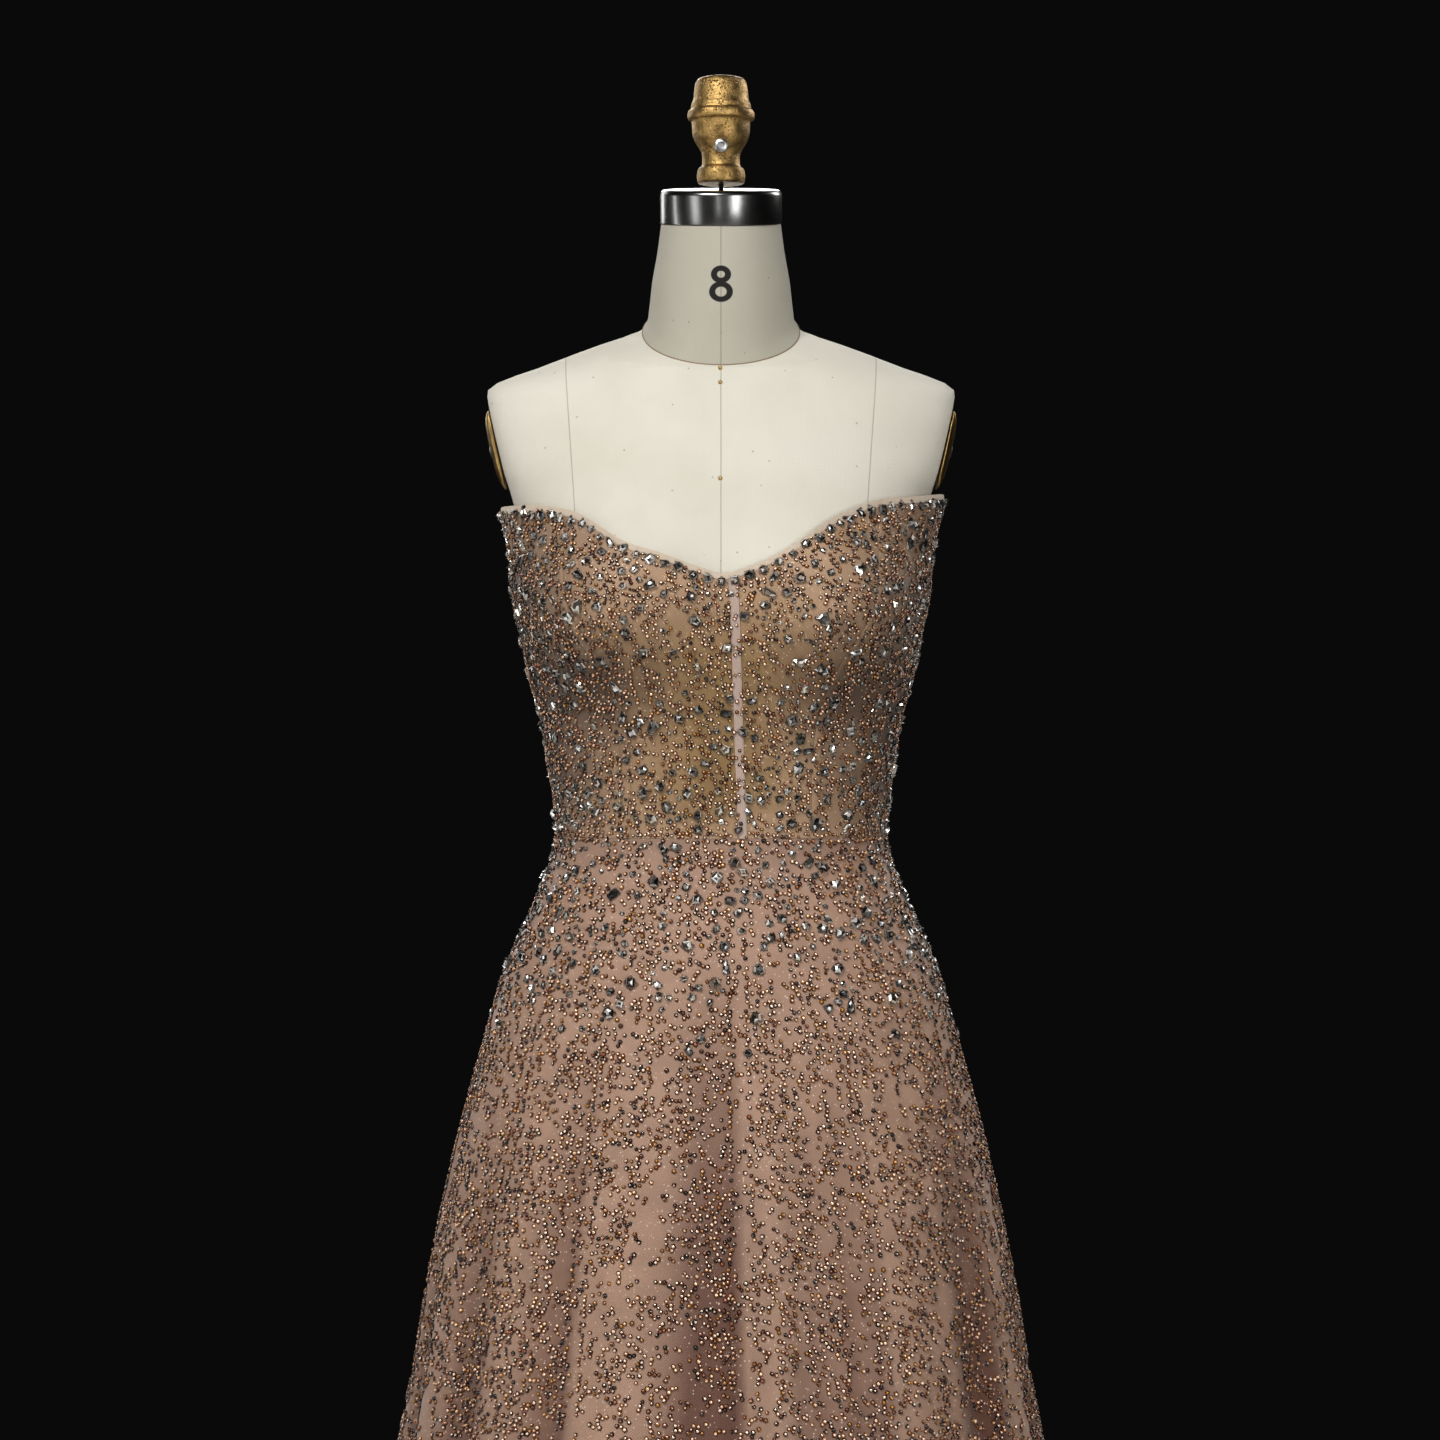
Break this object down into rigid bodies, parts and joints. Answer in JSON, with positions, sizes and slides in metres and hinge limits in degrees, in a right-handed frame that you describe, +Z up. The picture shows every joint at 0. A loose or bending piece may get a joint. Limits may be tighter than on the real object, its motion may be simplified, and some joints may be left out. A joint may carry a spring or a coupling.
{
  "type": "evening dress on a dress form",
  "caption": "Strapless floor-length A-line beaded evening dress with a sweetheart neckline, on a limbless canvas dress form with a pole and round base.",
  "frame": {"origin": "middle of the round base's underside, on the floor", "axes": "+Z up the pole, the front of the dress faces -Y, +X to the right as seen from the front"},
  "size_m": [0.7148, 0.6729, 1.703],
  "materials": {
    "bodice": "nude net with copper seed beads and smoky faceted stones",
    "skirt": "dusty pink net over satin with copper seed beads",
    "edging": "sheer nude tulle",
    "tape": "satin tape",
    "canvas": "tight cream canvas",
    "brass": "aged gold lacquered brass",
    "chrome": "polished",
    "iron": "black enamel",
    "zip_metal": "satin"
  },
  "bodies": {
    "root": {"stand_base": "iron", "stand_pole": "iron", "form_torso": "canvas", "form_neck": "canvas", "arm_plate_left": "brass", "arm_plate_right": "brass", "neck_cap": "chrome", "knob_stem": "iron", "neck_knob": "brass", "knob_screw": "chrome", "bodice_front_left": "bodice", "bodice_front_right": "bodice", "bodice_side_front_left": "bodice", "bodice_side_front_right": "bodice", "bodice_side_back_left": "bodice", "bodice_side_back_right": "bodice", "bodice_back_left": "bodice", "bodice_back_right": "bodice", "channel_centre_front": "tape", "channel_princess_left": "tape", "channel_princess_right": "tape", "channel_side_left": "tape", "channel_side_right": "tape", "channel_back_left": "tape", "channel_back_right": "tape", "neck_binding": "edging", "skirt_front": "skirt", "skirt_side_front_left": "skirt", "skirt_side_front_right": "skirt", "skirt_side_back_left": "skirt", "skirt_side_back_right": "skirt", "skirt_back_left": "skirt", "skirt_back_right": "skirt", "zip_tape": "tape", "zip_slider": "zip_metal"},
    "zip_pull": {"zip_pull": "zip_metal"}
  },
  "joints": [
    {"name": "zip_pull_swing", "type": "hinge", "parent": "root", "child": "zip_pull", "pos_m": [0, 0.12209, 1.326], "axis": [1, 0, 0], "range_deg": [0, 160]}
  ]
}
